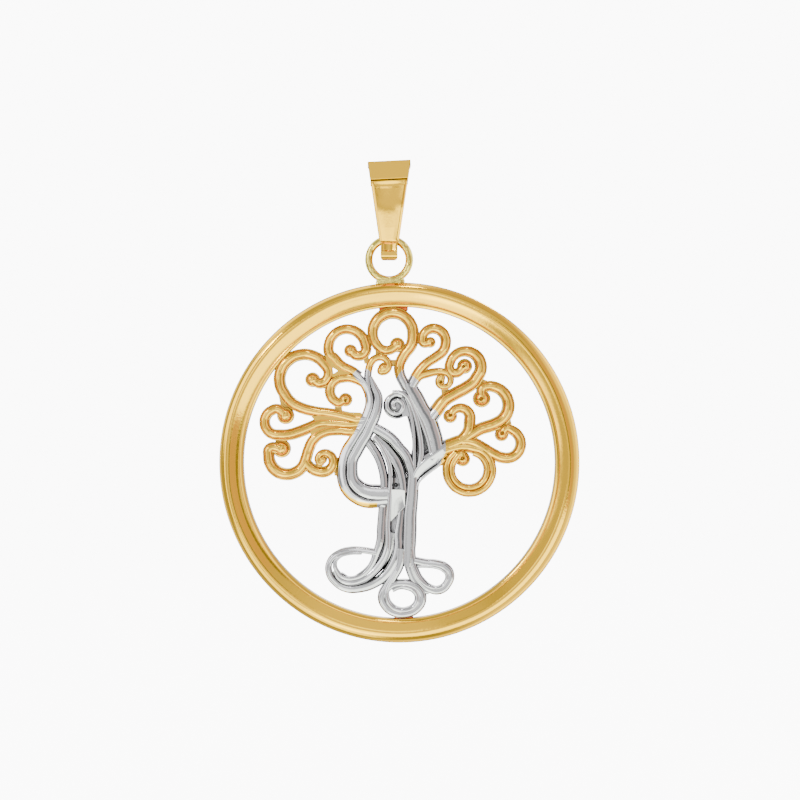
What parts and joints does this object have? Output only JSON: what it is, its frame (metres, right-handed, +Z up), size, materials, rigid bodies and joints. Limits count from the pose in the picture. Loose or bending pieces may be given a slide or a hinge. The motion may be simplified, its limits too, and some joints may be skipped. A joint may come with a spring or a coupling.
{
  "type": "tree of life pendant",
  "caption": "Round openwork pendant: a domed ring frames a tree of curled branches, hung by a soldered ring from a tapered bail.",
  "frame": {"origin": "seat of the chain: the middle of the underside of the bail's top, where a chain carries the pendant", "axes": "+Z up along the hanging pendant, +X to the right seen from the front (the chain's direction), +Y through the pendant from its front to its back, so the front faces -Y"},
  "size_m": [0.025, 0.0028, 0.0334],
  "materials": {
    "yellow_gold": "polished 18 carat yellow gold, with soft cast texture in the hollows",
    "white_gold": "rhodium plated white gold on the trunk, roots and limbs, polished"
  },
  "bodies": {
    "bail": {"bail": "yellow_gold"},
    "framed_tree": {"framed_tree": "yellow_gold"}
  },
  "joints": [
    {"name": "pendant_swing", "type": "hinge", "parent": "bail", "child": "framed_tree", "pos_m": [0, 0, -0.00504], "axis": [1, 0, 0], "range_deg": [-130, 130]}
  ]
}
